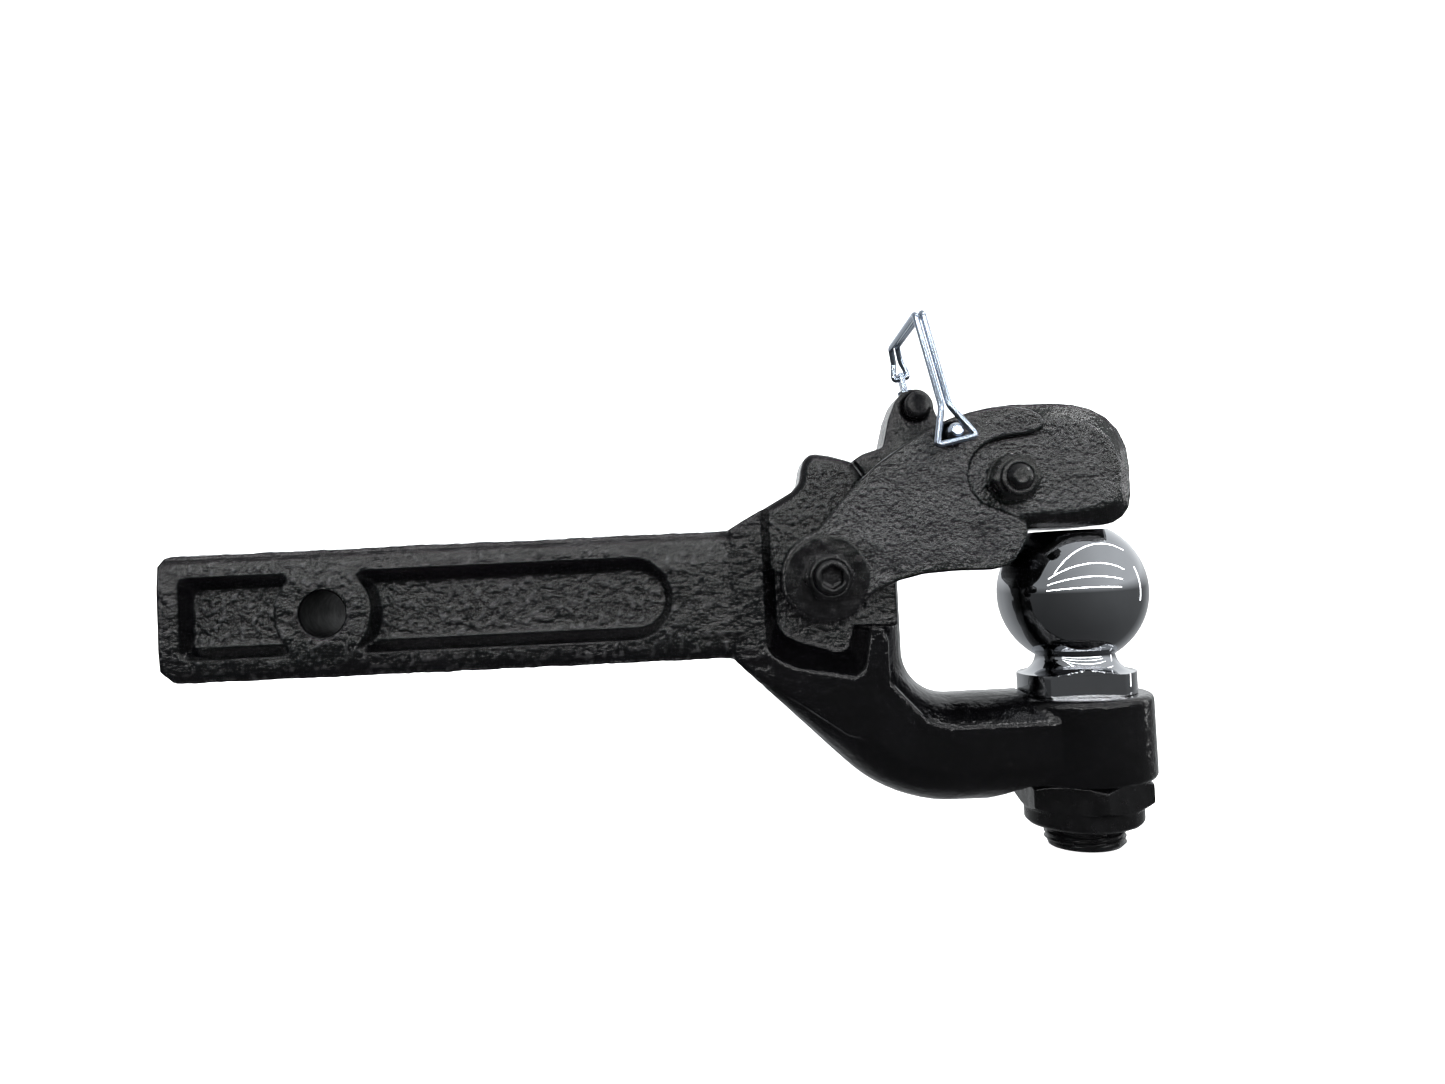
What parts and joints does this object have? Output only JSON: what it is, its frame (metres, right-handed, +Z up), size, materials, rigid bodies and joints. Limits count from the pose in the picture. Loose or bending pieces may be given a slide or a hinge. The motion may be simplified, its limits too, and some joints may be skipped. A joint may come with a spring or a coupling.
{
  "type": "trailer hitch with pintle hook and tow ball",
  "caption": "Forged trailer hitch: square shank for a receiver tube, pintle hook with a latching upper jaw and wire-locked safety pin, and a chrome tow ball on a threaded stud.",
  "frame": {"origin": "centre of the hitch pin hole through the shank", "axes": "+X from the pin hole to the tow ball, +Y across the hitch away from the lock nuts, +Z up along the tow ball"},
  "size_m": [0.3874, 0.0824, 0.2127],
  "materials": {
    "body_enamel": "glossy black enamel over a forged surface",
    "jaw_enamel": "glossy black enamel over a pebbled cast surface",
    "latch_enamel": "glossy black enamel",
    "black_bar": "glossy black enamel",
    "black_bolt": "black paint over steel",
    "black_nut": "black paint over steel",
    "black_washer": "black paint over steel",
    "bare_steel": "turned steel, lightly oiled",
    "spring_steel": "drawn spring steel",
    "nylon": "dull dark blue nylon",
    "chrome_ball": "mirror chrome plate",
    "zinc_pin": "bright zinc plate",
    "zinc_wire": "bright zinc plate, faint blue"
  },
  "bodies": {
    "hitch": {"hitch_body": "body_enamel", "pivot_bush": "bare_steel", "pivot_bolt": "black_bolt", "pivot_nut": "black_nut", "pivot_nut_insert": "nylon", "pivot_washers": "black_washer", "tow_ball": "chrome_ball", "ball_nut": "black_nut", "ball_nut_insert": "nylon"},
    "jaw": {"jaw": "jaw_enamel", "latch_bolt": "black_bolt", "latch_nut": "black_nut", "latch_nut_insert": "nylon", "latch_washers": "black_washer", "latch_sleeve": "bare_steel", "latch_spring": "spring_steel"},
    "latch": {"latch": "latch_enamel", "latch_handle_bar": "black_bar"},
    "safety_pin": {"safety_pin": "zinc_pin"},
    "bail": {"wire_bail": "zinc_wire"}
  },
  "joints": [
    {"name": "jaw_open", "type": "hinge", "parent": "hitch", "child": "jaw", "pos_m": [0.193, 0, 0.005], "axis": [0, -1, 0], "range_deg": [0, 50]},
    {"name": "latch_lift", "type": "hinge", "parent": "jaw", "child": "latch", "pos_m": [0.2665, 0, 0.0393], "axis": [0, 1, 0], "range_deg": [0, 37.5], "stiffness_Nm_per_rad": 0.4, "springref_deg": -20.05},
    {"name": "safety_pin_slide", "type": "slide", "parent": "jaw", "child": "safety_pin", "axis": [0, 1, 0], "range_m": [0, 0.075]},
    {"name": "bail_swing", "type": "hinge", "parent": "safety_pin", "child": "bail", "pos_m": [0.23622, 0.0302, 0.09013], "axis": [-0.9799, 0, -0.1994], "range_deg": [0, 120]}
  ],
  "couplings": [
    {"joint": "latch_lift", "follows": "jaw_open", "ratio": 0.75},
    {"joint": "bail_swing", "follows": "safety_pin_slide", "rad_per_m": 27.9}
  ]
}
